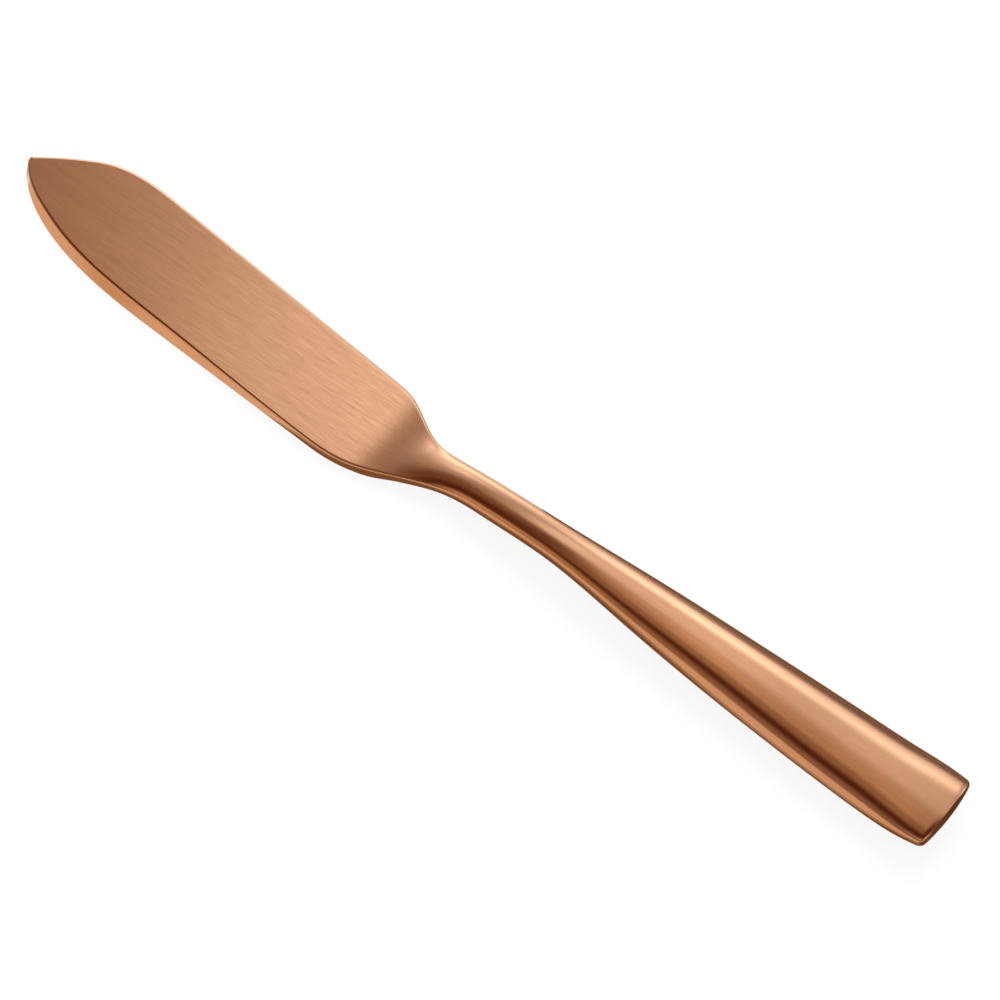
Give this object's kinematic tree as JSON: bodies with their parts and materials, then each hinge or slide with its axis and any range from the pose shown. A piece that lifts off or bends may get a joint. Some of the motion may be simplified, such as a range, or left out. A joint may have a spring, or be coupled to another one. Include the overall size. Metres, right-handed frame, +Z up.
{
  "type": "butter knife",
  "caption": "Copper-coloured butter knife with a broad clipped blade, a slender arched neck and an oval hollow handle that widens to a square-cut butt.",
  "frame": {"origin": "middle of the knife's outline, on the table that it lies on", "axes": "+X along the knife from the tip to the butt, +Y towards the spine, +Z up from the table"},
  "size_m": [0.171, 0.0196, 0.007],
  "materials": {
    "coated_steel": "brushed copper-coloured coating over stainless steel, satin",
    "cement": "cast resin cement, matt"
  },
  "bodies": {
    "root": {"blade": "coated_steel", "upper_handle_shell": "coated_steel", "lower_handle_shell": "coated_steel", "butt_plate": "coated_steel", "handle_filler": "cement"}
  },
  "joints": []
}
